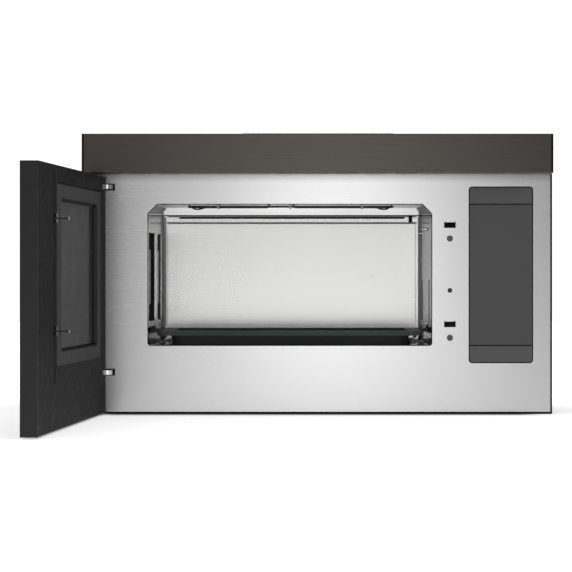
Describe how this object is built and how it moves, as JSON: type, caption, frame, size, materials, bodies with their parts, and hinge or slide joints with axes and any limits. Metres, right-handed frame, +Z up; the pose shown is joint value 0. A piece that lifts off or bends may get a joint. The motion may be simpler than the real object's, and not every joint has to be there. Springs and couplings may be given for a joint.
{
  "type": "over-the-range microwave oven",
  "caption": "Wide over-the-range microwave oven with a full-width side-hinged door standing open, a steel cavity, a sliding cooking tray and an extractor blower.",
  "frame": {"origin": "on the wall, at the middle of the lower edge of the wall plate", "axes": "+X to the viewer's right, +Y into the wall, +Z up; the front faces -Y"},
  "size_m": [0.7886, 1.1364, 0.4654],
  "materials": {
    "cavity_steel": "satin brushed stainless",
    "screen_steel": "perforated stainless",
    "ceramic_glass": "smooth glass ceramic",
    "black_plastic": "fine matt",
    "black_steel": "satin black",
    "lamp_glass": "frosted",
    "heater_steel": "oxidised tube",
    "tray_enamel": "dark enamel",
    "face_steel": "vertical brush",
    "dark_steel": "dark brushed",
    "grey_plastic": "fine matt",
    "cap_plastic": "fine matt",
    "dark_enamel": "heat resistant paint",
    "grey_rubber": "soft",
    "screw_steel": "plated",
    "casing_paint": "fine texture",
    "galvanised": "galvanised",
    "motor_steel": "zinc and black",
    "charcoal": "granular",
    "filter_aluminium": "rolled",
    "board": "circuit board",
    "hinge_steel": "plated",
    "door_skin": "black stainless",
    "dark_glass": "tinted",
    "grey_panel": "satin",
    "window_glass": "tinted",
    "hook_plastic": "moulded",
    "guide_steel": "bright"
  },
  "bodies": {
    "cabinet": {"base_pan": "casing_paint", "blower_housing": "galvanised", "blower_motor": "motor_steel", "cabinet_bolt_bars": "galvanised", "case_screws": "screw_steel", "cavity_ceiling": "cavity_steel", "cavity_lamp": "lamp_glass", "cavity_liner": "cavity_steel", "charcoal_filter": "charcoal", "control_board": "board", "convection_housing": "dark_enamel", "convection_motor": "motor_steel", "cooktop_lamps": "lamp_glass", "cooling_fan_frame": "black_plastic", "cord_bushing": "black_plastic", "door_bumpers": "grey_rubber", "exhaust_adapter": "galvanised", "face_screw": "screw_steel", "floor_plate": "ceramic_glass", "front_face_panel": "face_steel", "front_frame": "black_steel", "grill_heater": "heater_steel", "heater_clips": "cavity_steel", "hinge_arms": "hinge_steel", "interlock_bracket": "black_plastic", "interlock_switches": "grey_plastic", "inverter_board": "board", "magnetron": "motor_steel", "module_cover": "grey_plastic", "module_end_caps": "cap_plastic", "outer_casing": "casing_paint", "rear_panel": "galvanised", "seam_gasket": "black_plastic", "stirrer_motor": "motor_steel", "temperature_sensor": "black_steel", "tray_rails": "black_plastic", "vent_fascia": "dark_steel", "vent_screens": "screen_steel", "wall_mounting_plate": "galvanised", "wall_studs": "cavity_steel", "waveguide": "galvanised"},
    "door": {"door_shell": "door_skin", "door_front_glass": "dark_glass", "door_inner_frame": "black_plastic", "door_inner_panel": "grey_panel", "window_pane": "window_glass", "window_screen": "screen_steel", "choke_frame": "black_steel", "door_hinge_blocks": "hinge_steel", "hook_guides": "guide_steel", "latch_spring": "screw_steel"},
    "latch": {"latch_hooks": "hook_plastic"},
    "tray": {"cooking_tray": "tray_enamel"},
    "convection_wheel": {"convection_fan": "dark_enamel"},
    "blower_wheel_set": {"blower_wheels": "black_plastic"},
    "cooling_wheel": {"cooling_fan_blade": "black_plastic"},
    "stirrer": {"stirrer_antenna": "filter_aluminium"},
    "damper": {"damper_flap": "galvanised"},
    "left_filter": {"grease_filter_left": "filter_aluminium"},
    "right_filter": {"grease_filter_right": "filter_aluminium"}
  },
  "joints": [
    {"name": "door_swing", "type": "hinge", "parent": "cabinet", "child": "door", "pos_m": [-0.3605, -0.396, 0.19], "axis": [0, 0, -1], "range_deg": [-93.2, 7]},
    {"name": "latch_lift", "type": "slide", "parent": "door", "child": "latch", "axis": [0, 0, 1], "range_m": [0, 0.002], "stiffness_N_per_m": 400, "deforming": ["latch_spring"]},
    {"name": "tray_slide", "type": "slide", "parent": "cabinet", "child": "tray", "axis": [0, -1, 0], "range_m": [0, 0.3]},
    {"name": "convection_spin", "type": "hinge", "parent": "cabinet", "child": "convection_wheel", "pos_m": [-0.322, -0.198, 0.2215], "axis": [1, 0, 0], "continuous": true},
    {"name": "blower_spin", "type": "hinge", "parent": "cabinet", "child": "blower_wheel_set", "pos_m": [0, -0.085, 0.396], "axis": [1, 0, 0], "continuous": true},
    {"name": "cooling_spin", "type": "hinge", "parent": "cabinet", "child": "cooling_wheel", "pos_m": [0.302, -0.19, 0.152], "axis": [1, 0, 0], "continuous": true},
    {"name": "stirrer_spin", "type": "hinge", "parent": "cabinet", "child": "stirrer", "pos_m": [-0.04475, -0.19, 0.094], "axis": [0, 0, 1], "continuous": true},
    {"name": "damper_lift", "type": "hinge", "parent": "cabinet", "child": "damper", "pos_m": [0, -0.04725, 0.4559], "axis": [-1, 0, 0], "range_deg": [0, 75]},
    {"name": "left_filter_drop", "type": "hinge", "parent": "cabinet", "child": "left_filter", "pos_m": [-0.18987, -0.06, 0], "axis": [1, 0, 0], "range_deg": [0, 30]},
    {"name": "right_filter_drop", "type": "hinge", "parent": "cabinet", "child": "right_filter", "pos_m": [0.18987, -0.06, 0], "axis": [1, 0, 0], "range_deg": [0, 30]}
  ]
}
